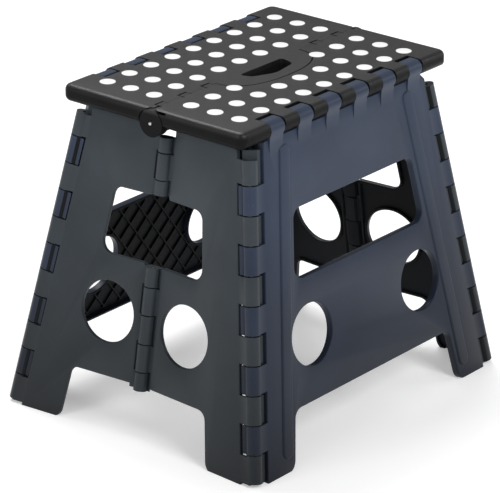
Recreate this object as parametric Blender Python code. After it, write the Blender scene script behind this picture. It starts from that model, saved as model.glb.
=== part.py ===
"""Folding step stool. Metres, +Z up, origin on the floor under the middle of the tread.

+X runs along the tread, -Y is the front panel. Every hinge line of an end, and its skin, aim at one
apex above the tread, so the leaning ends can fold inward.
"""

import math

import bmesh
import bpy
from mathutils import Matrix, Vector

MM = 0.001
SEGMENTS = 16

# Heights of the tread and of its hinge lines, in millimetres.
TREAD_TOP = 390.0
TREAD_BOTTOM = 370.0
TOP_HINGE_Y = 120.0
TOP_HINGE_Z = 379.5
CENTRE_HINGE_Z = 373.0

# Corner hinge lines: half spacings at the floor and at REF_Z.
REF_Z = 370.0
CORNER_X = (219.5, 159.1)
CORNER_Y = (176.7, 115.9)
CORNER_R = 9.0
CORNER_STEP = 32.3
CORNER_START = 2.0
CORNER_COUNT = 11
CORNER_END = 352.0
SIDE_GAP = 0.7
PLATE_GAP = 14.0

# Middle hinge of an end, set slightly inward of the corner lines.
MID_INWARD = 4.0
MID_R = 8.0
MID_PROUD = 0.7
MID_CLEAR = 12.0
MID_FRONT = ((301.3, 332.0), (146.7, 179.2), (81.0, 113.3))
MID_REAR = ((332.0, 350.0), (283.5, 301.3), (179.2, 202.0), (113.3, 146.7), (58.5, 81.0))

# Panel walls.
SKIN = 3.0
RIM = 3.0
LONG_FACE = 8.6
LONG_DEPTH = 9.0
END_DEPTH = 6.0
LONG_TOP = 372.8
END_TOP = 362.0
ARCH_TOP = 63.0
WINDOW = ((109.0, 282.0), (121.0, 203.7))
END_WINDOW = ((63.0, 281.0), (74.0, 203.7))
HOLE_R = 36.0
LONG_HOLE = (101.3, 137.2)
END_HOLE = (56.0, 137.2)
LONG_FOOT = (156.7, 144.9)
END_FOOT = (108.5, 98.2)
FLUTE_INSET = 40.0
FLUTE_WIDTH = 18.0
FLUTE_RISE = 1.8

# Tread.
TREAD_X = 188.0
TREAD_Y = 130.0
TREAD_CORNER = 9.5
EDGE_TOP_R = 9.0
EDGE_BOTTOM_R = 5.0
TREAD_WALL = 3.5
SEAM = 0.4
TONGUE_X = 76.0
TONGUE_Y = 44.0
TONGUE_BOTTOM = 374.0
TONGUE_GAP = 1.5
SLOT = ((-38.0, 40.0), (-3.0, -28.0))
TOP_KNUCKLE_X = (-126.4, -75.9, -25.3, 25.3, 75.9, 126.4)
TOP_KNUCKLE_HALF = 12.0
TOP_KNUCKLE_R = 10.0
SLEEVE_R = 9.8
HOOK_R = 6.2
CENTRE_REAR = ((75.4, 99.5), (120.5, 139.5), (160.5, 186.0))
CENTRE_FRONT = ((100.5, 119.5), (140.5, 159.5))
LUG_R = 16.0
LUG_X = 176.0
TAB_Y = 25.5

# Pins.
PIN_R = 2.0
BORE_R = 2.4
OPEN_BORE_R = 3.6
CORNER_PIN = (4.0, 350.0)
CENTRE_PIN = (81.5, 185.0)
TOP_PIN_X = 176.0
SLACK_R = 8.3
SLACK = (-4.2, 3.8)

# Materials: colour, roughness, metallic.
SLATE_PLASTIC = ((0.075, 0.09, 0.105), 0.42, 0.0)
BLACK_PLASTIC = ((0.022, 0.022, 0.024), 0.5, 0.0)
STEEL = ((0.55, 0.55, 0.56), 0.3, 1.0)


def remove_everything():
    for obj in list(bpy.data.objects):
        bpy.data.objects.remove(obj, do_unlink=True)


def collection(name, helper=False):
    made = bpy.data.collections.new(name)
    made.hide_render = helper
    bpy.context.scene.collection.children.link(made)
    return made


def material(name, colour, roughness, metallic):
    made = bpy.data.materials.new(name)
    made.use_nodes = True
    shader = made.node_tree.nodes["Principled BSDF"]
    shader.inputs["Base Color"].default_value = (*colour, 1.0)
    shader.inputs["Roughness"].default_value = roughness
    shader.inputs["Metallic"].default_value = metallic
    return made


def mesh_object(name, mesh):
    obj = bpy.data.objects.new(name, mesh)
    CUTTERS.objects.link(obj)
    obj.hide_render = True
    obj.display_type = "WIRE"
    return obj


def evaluated_mesh(obj):
    bpy.context.view_layer.update()
    graph = bpy.context.evaluated_depsgraph_get()
    return bpy.data.meshes.new_from_object(obj.evaluated_get(graph))


def plate(loops, low, high):
    """Flat piece with holes: closed loops of (x, y) filled in the XY plane, from z low to z high."""
    data = bpy.data.curves.new("outline", "CURVE")
    data.dimensions = "2D"
    data.fill_mode = "BOTH"
    data.extrude = (high - low) / 2 * MM
    for loop in loops:
        spline = data.splines.new("POLY")
        spline.points.add(len(loop) - 1)
        for point, (x, y) in zip(spline.points, loop):
            point.co = (x * MM, y * MM, 0.0, 1.0)
        spline.use_cyclic_u = True
    curve = mesh_object("outline", data)
    mesh = evaluated_mesh(curve)
    bpy.data.objects.remove(curve)
    mesh.transform(Matrix.Translation((0, 0, (high + low) / 2 * MM)))
    form = bmesh.new()
    form.from_mesh(mesh)
    bmesh.ops.remove_doubles(form, verts=form.verts, dist=1e-6)
    bmesh.ops.recalc_face_normals(form, faces=form.faces)
    bmesh.ops.dissolve_limit(form, angle_limit=1e-3, verts=form.verts, edges=form.edges)
    form.to_mesh(mesh)
    form.free()
    return mesh_object("plate", mesh)


def box(low, high):
    form = bmesh.new()
    bmesh.ops.create_cube(form, size=1.0)
    mesh = bpy.data.meshes.new("box")
    form.to_mesh(mesh)
    form.free()
    size = [b - a for a, b in zip(low, high)]
    middle = [(a + b) / 2 for a, b in zip(low, high)]
    scale = Matrix.Diagonal((*[s * MM for s in size], 1.0))
    mesh.transform(Matrix.Translation([m * MM for m in middle]) @ scale)
    return mesh_object("box", mesh)


def rod(start, end, radius, segments=SEGMENTS):
    """Round bar between two points."""
    start = Vector(start)
    end = Vector(end)
    along = end - start
    form = bmesh.new()
    bmesh.ops.create_cone(
        form, cap_ends=True, segments=segments, radius1=radius, radius2=radius, depth=along.length
    )
    mesh = bpy.data.meshes.new("rod")
    form.to_mesh(mesh)
    form.free()
    turn = Vector((0, 0, 1)).rotation_difference(along.normalized()).to_matrix().to_4x4()
    mesh.transform(Matrix.Translation((start + end) / 2) @ turn)
    mesh.transform(Matrix.Diagonal((MM, MM, MM, 1.0)))
    return mesh_object("rod", mesh)


def combine(target, others, operation):
    group = bpy.data.collections.new("operands")
    for other in others:
        group.objects.link(other)
    modifier = target.modifiers.new("combine", "BOOLEAN")
    modifier.operation = operation
    modifier.solver = "EXACT"
    modifier.operand_type = "COLLECTION"
    modifier.collection = group
    mesh = evaluated_mesh(target)
    target.modifiers.clear()
    target.data = mesh
    for other in others:
        bpy.data.objects.remove(other)
    bpy.data.collections.remove(group)


def rounded(points, radii, steps=5):
    """Closed loop with each corner replaced by an arc."""
    loop = []
    count = len(points)
    for i, (point, radius) in enumerate(zip(points, radii)):
        here = Vector(point)
        if radius <= 0:
            loop.append(tuple(here))
            continue
        back = (Vector(points[i - 1]) - here).normalized()
        ahead = (Vector(points[(i + 1) % count]) - here).normalized()
        half = back.angle(ahead) / 2
        reach = radius / math.tan(half)
        centre = here + (back + ahead).normalized() * (radius / math.sin(half))
        first = here + back * reach - centre
        last = here + ahead * reach - centre
        sweep = first.angle_signed(last)
        for step in range(steps + 1):
            arm = first.copy()
            arm.rotate(Matrix.Rotation(-sweep * step / steps, 2))
            loop.append(tuple(centre + arm))
    return loop


def circle(centre, radius, steps=24):
    return [
        (
            centre[0] + radius * math.cos(math.tau * i / steps),
            centre[1] + radius * math.sin(math.tau * i / steps),
        )
        for i in range(steps)
    ]


def inset(loop, distance):
    """The loop moved inward by a distance, with mitred corners; a negative distance moves it outward."""
    area = sum(a[0] * b[1] - b[0] * a[1] for a, b in zip(loop, loop[1:] + loop[:1]))
    side = 1.0 if area > 0 else -1.0
    moved = []
    for i, point in enumerate(loop):
        here = Vector(point)
        back = (here - Vector(loop[i - 1])).normalized()
        ahead = (Vector(loop[(i + 1) % len(loop)]) - here).normalized()
        normal_a = Vector((-back.y, back.x)) * side
        normal_b = Vector((-ahead.y, ahead.x)) * side
        total = normal_a + normal_b
        moved.append(tuple(here + total * (2 * distance / total.length_squared)))
    return moved


def lerp(pair, z):
    return pair[0] + (pair[1] - pair[0]) * z / REF_Z


def corner_span(index):
    """Heights between which one corner knuckle lies."""
    low = CORNER_START + CORNER_STEP * index
    return low + SIDE_GAP, min(low + CORNER_STEP - SIDE_GAP, CORNER_END)


def frame(origin, right, up, out):
    made = Matrix.Identity(4)
    for column, axis in enumerate((right, up, out, origin)):
        for row in range(3):
            made[row][column] = axis[row]
    return made


LEAN = math.atan((CORNER_Y[0] - CORNER_Y[1]) / REF_Z)
APEX_Z = REF_Z * CORNER_Y[0] / (CORNER_Y[0] - CORNER_Y[1])
APEX = Vector((-lerp(CORNER_X, APEX_Z), 0, APEX_Z))
HALF_TURN = Matrix.Rotation(math.pi, 4, "Z")
LONG_FRAME = frame(
    Vector((0, -CORNER_Y[0], 0)),
    Vector((1, 0, 0)),
    Vector((0, math.sin(LEAN), math.cos(LEAN))),
    Vector((0, -math.cos(LEAN), math.sin(LEAN))),
)


def end_frame(side):
    """Frame of one left end half: side -1 is the front half. Its XY plane is the outer skin face."""
    corner = Vector((-CORNER_X[0], side * CORNER_Y[0], 0))
    middle = Vector((-CORNER_X[0] + MID_INWARD, 0, 0))
    slope = math.atan((CORNER_X[0] - CORNER_X[1]) / REF_Z)
    outward = Vector((-math.cos(slope), 0, math.sin(slope)))
    at_corner = corner + outward * CORNER_R
    at_middle = middle - outward * MID_PROUD
    normal = (at_corner - APEX).cross(at_middle - APEX).normalized()
    if normal.x > 0:
        normal.negate()
    up = (APEX - at_corner).normalized()
    return frame(corner, up.cross(normal), up, normal) @ Matrix.Translation(
        (0, 0, normal.dot(at_corner - corner))
    )


def node(name, obj, matrix, origin, look):
    """Turns a solid modelled in a local frame into a named node with its origin on its hinge line."""
    mesh = obj.data
    bpy.data.objects.remove(obj)
    form = bmesh.new()
    form.from_mesh(mesh)
    bmesh.ops.remove_doubles(form, verts=form.verts, dist=2e-6)
    bmesh.ops.dissolve_degenerate(form, edges=form.edges, dist=1e-6)
    form.to_mesh(mesh)
    form.free()
    local = matrix.inverted() @ Vector(origin)
    mesh.transform(Matrix.Translation(-local * MM))
    mesh.materials.clear()
    mesh.materials.append(material(f"{name}_material", *look))
    made = bpy.data.objects.new(name, mesh)
    PARTS.objects.link(made)
    placed = matrix @ Matrix.Translation(local)
    placed.translation = placed.translation * MM
    made.matrix_world = placed
    return made


def knuckles(matrix, low_point, high_point, spans, radius):
    """Barrels round the line between two world points, one for each pair of heights."""
    inverse = matrix.inverted()
    bars = []
    slope = (high_point - low_point) / (high_point.z - low_point.z)
    for low, high in spans:
        ends = [inverse @ (low_point + slope * (z - low_point.z)) for z in (low, high)]
        bars.append(rod(ends[0], ends[1], radius))
    return bars


def long_panel():
    """Front panel in its local frame: x along the tread, y up the slant, z outward from the hinge plane."""
    slant = 1 / math.cos(LEAN)

    def edge(v):
        return lerp(CORNER_X, v / slant)

    foot_slope = (LONG_FOOT[0] - LONG_FOOT[1]) / ARCH_TOP
    right = [
        (LONG_FOOT[1], ARCH_TOP * slant),
        (LONG_FOOT[0] + 3 * foot_slope, -3.0),
        (edge(-3) - PLATE_GAP, -3.0),
        (edge(LONG_TOP) - PLATE_GAP, LONG_TOP),
    ]
    outline = right + [(-x, y) for x, y in reversed(right)]
    radii = (12, 14, 2, 3, 3, 2, 14, 12)
    (top_x, top_z), (low_x, low_z) = WINDOW
    window = [
        (-low_x, low_z * slant), (low_x, low_z * slant),
        (top_x, top_z * slant), (-top_x, top_z * slant),
    ]
    inner = LONG_FACE - SKIN
    back = LONG_FACE - LONG_DEPTH
    sides = (-1, 1)
    holes = [circle((side * LONG_HOLE[0], LONG_HOLE[1] * slant), HOLE_R) for side in sides]
    lips = [circle((side * LONG_HOLE[0], LONG_HOLE[1] * slant), HOLE_R + RIM) for side in sides]
    body = plate([rounded(outline, radii), rounded(window, [13] * 4), *holes], back, LONG_FACE)
    hollow = [rounded(inset(outline, RIM), [max(r - RIM, 1) for r in radii]), *lips]
    hollow.append(rounded(inset(window, -RIM), [13 + RIM] * 4))
    combine(body, [plate(hollow, back - 5, inner)], "DIFFERENCE")
    adds = []
    spans = [corner_span(i) for i in range(1, CORNER_COUNT, 2)]
    for side in (-1, 1):
        for low, high in spans:
            ends = ((low + 0.4) * slant, (high - 0.4) * slant)
            corners = [(side * (edge(v) - inward), v) for v, inward in
                       ((ends[0], 17), (ends[0], 0), (ends[1], 0), (ends[1], 17))]
            adds.append(plate([corners], LONG_FACE - 4.2, LONG_FACE - 0.15))
        low_point = Vector((side * CORNER_X[0], -CORNER_Y[0], 0))
        high_point = Vector((side * CORNER_X[1], -CORNER_Y[1], REF_Z))
        adds += knuckles(LONG_FRAME, low_point, high_point, spans, CORNER_R)
        flute = [(side * (edge(v) - FLUTE_INSET - w), v) for v, w in
                 ((14, 0), (14, FLUTE_WIDTH), (362, FLUTE_WIDTH), (362, 0))]
        flute = rounded(flute, [FLUTE_WIDTH * 0.48] * 4)
        adds.append(plate([flute], LONG_FACE - 0.5, LONG_FACE + FLUTE_RISE))
    hinge = LONG_FRAME.inverted() @ Vector((0, -TOP_HINGE_Y, TOP_HINGE_Z))
    for x in TOP_KNUCKLE_X:
        ends = [(x + half, hinge.y, hinge.z) for half in (-TOP_KNUCKLE_HALF, TOP_KNUCKLE_HALF)]
        adds.append(rod(*ends, TOP_KNUCKLE_R, 20))
        side_view = [
            (hinge.y, hinge.z + 8.5), (hinge.y - 1, hinge.z - 8.5), (hinge.y - 17, back + 2),
            (hinge.y - 30, inner + 0.5), (hinge.y - 30, LONG_FACE - 0.3), (hinge.y - 16, LONG_FACE + 1.5),
        ]
        adds.append(across(side_view, x - TOP_KNUCKLE_HALF + 0.4, x + TOP_KNUCKLE_HALF - 0.4))
    combine(body, adds, "UNION")
    below = box((-300, -400, -60), (300, 100, 0))
    below.data.transform(scaled(LONG_FRAME.inverted()))
    cuts = [below, rod((-190, hinge.y, hinge.z), (190, hinge.y, hinge.z), BORE_R, 12)]
    return body, cuts


def scaled(matrix):
    made = matrix.copy()
    made.translation = made.translation * MM
    return made


def corner_line(x_side, y_side, z):
    return Vector((x_side * lerp(CORNER_X, z), y_side * lerp(CORNER_Y, z), z))


def long_panel_node(name, turn, origin, bores):
    body, cuts = long_panel()
    for side, radius in zip((-1, 1), bores):
        ends = [LONG_FRAME.inverted() @ corner_line(side, -1, z) for z in (-20, 380)]
        cuts.append(rod(ends[0], ends[1], radius, 12))
    combine(body, cuts, "DIFFERENCE")
    return node(name, body, turn @ LONG_FRAME, origin, SLATE_PLASTIC)


def end_half(side):
    """Left end half in its own frame. side -1 is the front half, which has the even number of lugs."""
    matrix = end_frame(side)
    inverse = matrix.inverted()
    normal = matrix.to_3x3() @ Vector((0, 0, 1))

    def local(y, z):
        x = (normal.dot(APEX) - normal.y * y * side - normal.z * z) / normal.x
        point = inverse @ Vector((x, y * side, z))
        return point.x, point.y

    def loop(points):
        return [local(y, z) for y, z in points]

    def edge(z):
        return lerp(CORNER_Y, z) - PLATE_GAP

    slope = (END_FOOT[0] - END_FOOT[1]) / ARCH_TOP
    outline = loop((
        (edge(-3), -3), (edge(END_TOP), END_TOP), (MID_CLEAR, END_TOP),
        (MID_CLEAR, ARCH_TOP), (END_FOOT[1], ARCH_TOP), (END_FOOT[0] + 3 * slope, -3),
    ))
    radii = (2, 3, 2, 2, 12, 14)
    (top_y, top_z), (low_y, low_z) = END_WINDOW
    window = loop(((-20, low_z), (low_y, low_z), (top_y, top_z), (-20, top_z)))
    lip = loop(((MID_CLEAR + 1, low_z - RIM), (low_y + RIM, low_z - RIM), (top_y + RIM, top_z + RIM),
                (MID_CLEAR + 1, top_z + RIM)))
    hole = local(*END_HOLE)
    body = plate([rounded(outline, radii), circle(hole, HOLE_R)], -END_DEPTH, 0.0)
    hollow = plate(
        [rounded(inset(outline, RIM), [max(r - RIM, 1) for r in radii]), circle(hole, HOLE_R + RIM)],
        -END_DEPTH - 5, -SKIN,
    )
    combine(hollow, [plate([rounded(lip, (0, 16, 15, 0))], -END_DEPTH - 9, 5)], "DIFFERENCE")
    combine(body, [hollow], "DIFFERENCE")
    adds = []
    spans = [corner_span(i) for i in range(0, CORNER_COUNT, 2)]
    for low, high in spans:
        ends = (low + 0.4, high - 0.4)
        tab = loop((
            (edge(ends[0]) - 4, ends[0]), (lerp(CORNER_Y, ends[0]), ends[0]),
            (lerp(CORNER_Y, ends[1]), ends[1]), (edge(ends[1]) - 4, ends[1]),
        ))
        adds.append(plate([tab], -SKIN - 0.3, -0.15))
    adds += knuckles(matrix, corner_line(-1, side, 0), corner_line(-1, side, REF_Z), spans, CORNER_R)
    middle_low = Vector((-CORNER_X[0] + MID_INWARD, 0, 0))
    middle_high = middle_low + (APEX - middle_low) * REF_Z / APEX_Z
    mid_spans = [(a + SIDE_GAP, b - SIDE_GAP) for a, b in (MID_FRONT if side < 0 else MID_REAR)]
    for low, high in mid_spans:
        ends = (low + 0.4, high - 0.4)
        tab = loop(((0, ends[0]), (MID_CLEAR + 4, ends[0]), (MID_CLEAR + 4, ends[1]), (0, ends[1])))
        adds.append(plate([tab], -SKIN - 0.3, -0.15))
    adds += knuckles(matrix, middle_low, middle_high, mid_spans, MID_R)
    combine(body, adds, "UNION")
    below = box((-400, -400, -60), (100, 400, 0))
    below.data.transform(scaled(inverse))
    cuts = [below, plate([rounded(window, (0, 13, 12, 0))], -30, 10)]
    for low_point, high_point in (
        (corner_line(-1, side, -20), corner_line(-1, side, 380)),
        (middle_low - (APEX - middle_low) * 0.01, middle_low + (APEX - middle_low) * 0.34),
    ):
        cuts.append(rod(inverse @ low_point, inverse @ high_point, BORE_R, 12))
    combine(body, cuts, "DIFFERENCE")
    return body, matrix


def end_half_node(name, side, turn, origin):
    body, matrix = end_half(side)
    return node(name, body, turn @ matrix, origin, SLATE_PLASTIC)


def bevel_edges(obj, picked, radius, steps):
    form = bmesh.new()
    form.from_mesh(obj.data)
    edges = [e for e in form.edges if all(picked(v.co / MM) for v in e.verts)]
    bmesh.ops.bevel(
        form, geom=edges, offset=radius * MM, segments=steps, profile=0.5, affect="EDGES", clamp_overlap=True
    )
    form.to_mesh(obj.data)
    form.free()


def on_rim(point):
    corner = abs(point.x) > TREAD_X - TREAD_CORNER - 0.5 and abs(point.y) > TREAD_Y - TREAD_CORNER - 0.5
    return abs(point.x) > TREAD_X - 0.1 or abs(point.y) > TREAD_Y - 0.1 or corner


def tongue(reach_x, reach_y, steps=18):
    """Half of a rounded D from (reach_x, 0) round to (-reach_x, 0), bulging towards -Y."""
    points = []
    for i in range(1, steps):
        angle = math.pi * i / steps
        squash = 0.85
        points.append((
            reach_x * math.copysign(abs(math.cos(angle)) ** squash, math.cos(angle)),
            -reach_y * math.sin(angle) ** squash,
        ))
    return points


def tread_half(side):
    """One half of the tread. side -1 is the front half; the rear half carries the handle tongue."""
    front = side < 0
    grow = TONGUE_GAP if front else 0.0
    seam = -SEAM if front else SEAM
    tab_y = -(TAB_Y + (TONGUE_GAP if front else 0.0))
    tab_x = LUG_X - (2.0 if front else 0.5)
    outline = [
        (TREAD_X, side * TREAD_Y), (TREAD_X, tab_y), (tab_x, tab_y), (tab_x, seam),
        (TONGUE_X + grow, seam), *tongue(TONGUE_X + grow, TONGUE_Y + grow), (-TONGUE_X - grow, seam),
        (-tab_x, seam), (-tab_x, tab_y), (-TREAD_X, tab_y), (-TREAD_X, side * TREAD_Y),
    ]
    radii = [0.0] * len(outline)
    radii[0] = TREAD_CORNER
    radii[-1] = TREAD_CORNER
    body = plate([rounded(outline, radii)], TREAD_BOTTOM, TREAD_TOP)
    bevel_edges(body, lambda p: p.z > TREAD_TOP - 0.1 and on_rim(p), EDGE_TOP_R, 4)
    bevel_edges(body, lambda p: p.z < TREAD_BOTTOM + 0.1 and on_rim(p), EDGE_BOTTOM_R, 3)

    def block(x, y, z):
        ys = sorted((side * y[0], side * y[1]))
        return box((x[0], ys[0], z[0]), (x[1], ys[1], z[1]))

    ceiling = TREAD_TOP - TREAD_WALL
    below = TREAD_BOTTOM - 12
    turns = [math.pi * (1.5 - 0.5 * i / 8) for i in range(9)]
    under = [(TOP_HINGE_Y - SLEEVE_R * math.cos(t), TOP_HINGE_Z + SLEEVE_R * math.sin(t)) for t in turns]
    under += [(TREAD_Y + 5, TOP_HINGE_Z), (TREAD_Y + 5, below), (TOP_HINGE_Y, below)]
    cuts = [wedge(side, below), across([(side * y, z) for y, z in under], -200, 200)]
    columns = ((-182.5, -134.5), (-132, -86), (86, 132), (134.5, 182.5))
    middles = ((-83.5, -43.5), (-41, -1.2), (1.2, 41), (43.5, 83.5))
    for x in columns:
        cuts.append(block(x, (-5 if front else 21.5, 61), (below, ceiling)))
        cuts.append(block(x, (63.5, 104), (below, ceiling)))
    for x in middles:
        cuts.append(block(x, (63.5, 104), (below, ceiling)))
        if not front:
            cuts.append(block(x, (21.5, 61), (below, ceiling)))
    for x in TOP_KNUCKLE_X:
        wide = TOP_KNUCKLE_HALF + 1.3
        cuts.append(block((x - wide, x + wide), (106.8, 140), (below, TREAD_TOP + 10)))
    for x_side in (-1, 1):
        for low, high in CENTRE_REAR if front else CENTRE_FRONT:
            x = sorted((x_side * (low - 1.2), x_side * (high + 1.2)))
            cuts.append(block(x, (-5, 20), (below, TREAD_TOP - 1.3)))
    if not front:
        cuts.append(box((-TONGUE_X - 2, -TONGUE_Y - 2, below), (TONGUE_X + 2, 1, TONGUE_BOTTOM)))
        for x_side in (-1, 1):
            x = sorted((x_side * (LUG_X - 2), x_side * (TREAD_X + 5)))
            cuts.append(box((x[0], tab_y - 5, below), (x[1], 0, TREAD_TOP - 9)))
        (x_low, x_high), (y_back, y_front) = SLOT
        hand = (
            (x_low, y_back), (x_low + 6, -18), (-4, y_front - 2), (x_high - 6, y_front + 4), (x_high, y_back),
        )
        hand = rounded(hand, (4, 10, 30, 9, 4))
        cuts.append(plate([hand], below, TREAD_TOP + 10))
    combine(body, cuts, "DIFFERENCE")

    adds = []
    hook = HOOK if front else LOOP
    for x_side in (-1, 1):
        for low, high in CENTRE_FRONT if front else CENTRE_REAR:
            adds.append(across(hook, *sorted((x_side * low, x_side * high))))
        if not front:
            x = sorted((x_side * LUG_X, x_side * (TREAD_X - 2)))
            adds.append(rod((x[0], 0, CENTRE_HINGE_Z), (x[1], 0, CENTRE_HINGE_Z), LUG_R, 28))
    combine(body, adds, "UNION")

    ends = [(x, side * TOP_HINGE_Y, TOP_HINGE_Z) for x in (-178, 178)]
    bores = [rod(*ends, BORE_R, 12)]
    for x_side in (-1, 1):
        x = sorted((x_side * 78, x_side * 190))
        bores.append(rod((x[0], 0, CENTRE_HINGE_Z), (x[1], 0, CENTRE_HINGE_Z), BORE_R + 0.2, 12))
        if front:
            x = sorted((x_side * 99, x_side * 161))
            y = SLACK[0]
            z = CENTRE_HINGE_Z + SLACK[1]
            bores.append(rod((x[0], y, z), (x[1], y, z), SLACK_R, 20))
    combine(body, bores, "DIFFERENCE")
    return body


def across(profile, x_low, x_high):
    """Solid with one (y, z) profile all along x."""
    piece = plate([profile], x_low, x_high)
    piece.data.transform(Matrix(((0, 0, 1, 0), (1, 0, 0, 0), (0, 1, 0, 0), (0, 0, 0, 1))))
    return piece


def arc(radius, start, end, steps=8):
    """Points of an arc round the centre hinge line, from one angle to another in degrees."""
    turns = [math.radians(start + (end - start) * i / steps) for i in range(steps + 1)]
    return [(radius * math.cos(t), CENTRE_HINGE_Z + radius * math.sin(t)) for t in turns]


def wedge(side, below):
    """Raises the underside near the seam, so that the folded halves lie face to face."""
    rise = CENTRE_HINGE_Z + 0.8
    profile = ((-30, below), (41, below), (41, TREAD_BOTTOM), (0, rise), (-30, rise))
    return across([(side * y, z) for y, z in profile], -190, 190)


HOOK = [
    (-21.0, TREAD_TOP - 2.9), (-21.0, TREAD_BOTTOM + 2), (-12.0, TREAD_BOTTOM - 3.2), *arc(HOOK_R, -120, 26),
    (-0.5, CENTRE_HINGE_Z + 3), (-0.5, TREAD_TOP - 2.9),
]
LOOP = [
    (23.0, TREAD_TOP - 2.9), (23.0, TREAD_BOTTOM + 2), *arc(HOOK_R, -50, -270),
    (0.6, CENTRE_HINGE_Z + HOOK_R), (0.6, TREAD_TOP - 2.9),
]


def tread_node(name, side):
    body = tread_half(side)
    return node(name, body, Matrix.Identity(4), (0, side * TOP_HINGE_Y, TOP_HINGE_Z), BLACK_PLASTIC)


def pin(name, start, end):
    body = rod(start, end, PIN_R, 12)
    middle = (Vector(start) + Vector(end)) / 2
    return node(name, body, Matrix.Identity(4), middle, STEEL)


remove_everything()
PARTS = collection("folding_step_stool")
CUTTERS = collection("cutters", helper=True)

STILL = Matrix.Identity(4)
long_panel_node("panel_front", STILL, LONG_FRAME.translation, (BORE_R, BORE_R))
long_panel_node("panel_rear", HALF_TURN, corner_line(-1, 1, 0), (OPEN_BORE_R, BORE_R))
end_half_node("end_left_front", -1, STILL, corner_line(-1, -1, 0))
end_half_node("end_left_rear", 1, STILL, (-CORNER_X[0] + MID_INWARD, 0, 0))
end_half_node("end_right_front", 1, HALF_TURN, corner_line(1, -1, 0))
end_half_node("end_right_rear", -1, HALF_TURN, (CORNER_X[0] - MID_INWARD, 0, 0))
tread_node("seat_front", -1)
tread_node("seat_rear", 1)

for y_name, y_side in (("front", -1), ("rear", 1)):
    pin(f"top_hinge_pin_{y_name}", *[(x, y_side * TOP_HINGE_Y, TOP_HINGE_Z) for x in (-TOP_PIN_X, TOP_PIN_X)])
    for x_name, x_side in (("left", -1), ("right", 1)):
        pin(f"corner_pin_{x_name}_{y_name}", *[corner_line(x_side, y_side, z) for z in CORNER_PIN])
for x_name, x_side in (("left", -1), ("right", 1)):
    pin(f"centre_hinge_pin_{x_name}", *[(x_side * x, 0, CENTRE_HINGE_Z) for x in CENTRE_PIN])
    foot = Vector((x_side * (CORNER_X[0] - MID_INWARD), 0, 0))
    apex = Vector((-APEX.x * x_side, 0, APEX_Z))
    for part, low, high in (("lower", 59.5, 201.0), ("upper", 284.5, 349.0)):
        ends = [foot + (apex - foot) * z / APEX_Z for z in (low, high)]
        pin(f"end_pin_{x_name}_{part}", ends[0], ends[1])

for leftover in list(CUTTERS.objects):
    bpy.data.objects.remove(leftover)
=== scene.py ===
"""Folding step stool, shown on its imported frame: metres, +Z up, origin on the floor under the tread.

Sizes are in millimetres. +X runs along the tread, -Y is the front panel. Every hinge line of an end
aims at one apex above the tread, so the leaning ends can fold inward.
"""

import math

import bmesh
import bpy
from mathutils import Matrix, Vector


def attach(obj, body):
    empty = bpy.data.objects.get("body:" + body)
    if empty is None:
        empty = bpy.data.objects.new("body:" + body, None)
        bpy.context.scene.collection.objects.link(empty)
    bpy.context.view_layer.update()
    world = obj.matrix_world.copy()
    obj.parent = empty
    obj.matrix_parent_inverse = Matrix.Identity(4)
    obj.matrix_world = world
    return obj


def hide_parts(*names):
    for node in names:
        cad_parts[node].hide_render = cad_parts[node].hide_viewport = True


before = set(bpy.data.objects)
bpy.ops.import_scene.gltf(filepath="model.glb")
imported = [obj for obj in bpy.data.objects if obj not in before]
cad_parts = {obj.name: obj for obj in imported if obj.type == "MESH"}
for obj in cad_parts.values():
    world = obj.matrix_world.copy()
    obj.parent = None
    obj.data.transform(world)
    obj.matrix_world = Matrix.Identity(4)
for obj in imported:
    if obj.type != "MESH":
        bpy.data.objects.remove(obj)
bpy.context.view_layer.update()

MM = 0.001
SEGMENTS = 40

# Heights of the tread and of its hinge lines, in millimetres.
TREAD_TOP = 390.0
TREAD_BOTTOM = 370.0
TOP_HINGE_Y = 120.0
TOP_HINGE_Z = 379.5
CENTRE_HINGE_Z = 373.0

# Corner hinge lines: half spacings at the floor and at REF_Z.
REF_Z = 370.0
CORNER_X = (219.5, 159.1)
CORNER_Y = (176.7, 115.9)
CORNER_R = 9.0
CORNER_STEP = 32.3
CORNER_START = 2.0
CORNER_COUNT = 11
CORNER_END = 352.0
SIDE_GAP = 0.7
PLATE_GAP = 14.0

# Middle hinge of an end, set slightly inward of the corner lines.
MID_INWARD = 4.0
MID_R = 8.0
MID_PROUD = 0.7
MID_CLEAR = 12.0
MID_FRONT = ((301.3, 332.0), (146.7, 179.2), (81.0, 113.3))
MID_REAR = ((332.0, 350.0), (283.5, 301.3), (179.2, 202.0), (113.3, 146.7), (58.5, 81.0))

# Panel walls.
SKIN = 3.0
RIM = 3.0
LONG_FACE = 8.6
LONG_DEPTH = 9.0
END_DEPTH = 6.0
LONG_TOP = 372.8
END_TOP = 362.0
ARCH_TOP = 63.0
WINDOW = ((109.0, 282.0), (121.0, 203.7))
END_WINDOW = ((63.0, 281.0), (74.0, 203.7))
HOLE_R = 36.0
LONG_HOLE = (101.3, 137.2)
END_HOLE = (56.0, 137.2)
LONG_FOOT = (156.7, 144.9)
END_FOOT = (108.5, 98.2)
FLUTE_INSET = 40.0
FLUTE_WIDTH = 18.0
FLUTE_RISE = 1.8

# Lattice of ribs behind the long panels.
RIB_COUNT = 13
RIB_STEP = 30.0
RIB_WIDTH = 1.5
RIB_DEPTH = 2.2
RIB_TILT = math.radians(42)
RIB_REACH = 420.0
RIB_CENTRE_Y = 190.0
RIB_SPAN = (70.0, 360.0)

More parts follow.
